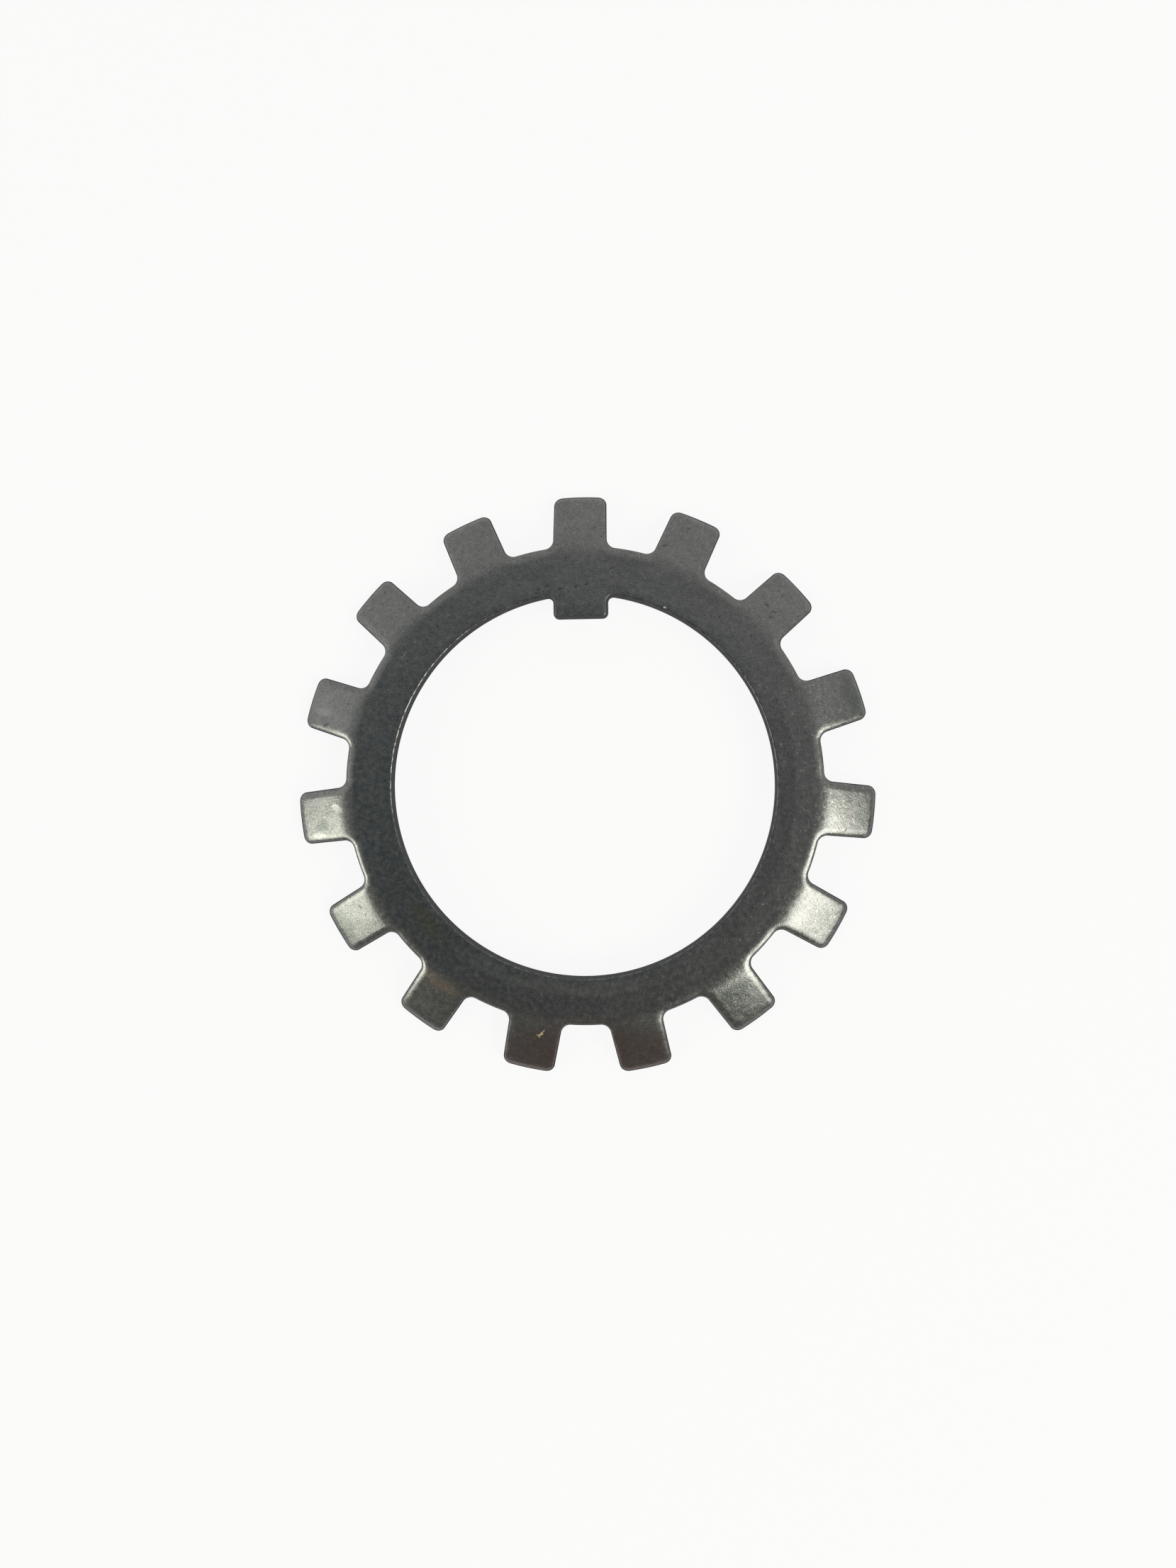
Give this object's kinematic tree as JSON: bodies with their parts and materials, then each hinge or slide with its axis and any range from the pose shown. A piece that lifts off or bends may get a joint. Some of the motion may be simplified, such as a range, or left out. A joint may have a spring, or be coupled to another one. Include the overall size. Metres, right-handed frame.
{
  "type": "lock washer",
  "caption": "Stamped steel ring with a tongue in its bore for a shaft's groove and a rim of bent tabs, one of which is folded into a slot of a round nut to lock it.",
  "frame": {"origin": "on the axis of the bore, in the plane of the ring's upper face, which seats against the bearing", "axes": "+Z along the bore axis, away from the bent tabs; +Y along the inner tongue, seen from the axis"},
  "size_m": [0.0612, 0.0611, 0.0035],
  "materials": {
    "steel": "tumbled mild steel, dark grey with a thin film of oil"
  },
  "bodies": {
    "root": {"lock_washer": "steel"}
  },
  "joints": []
}
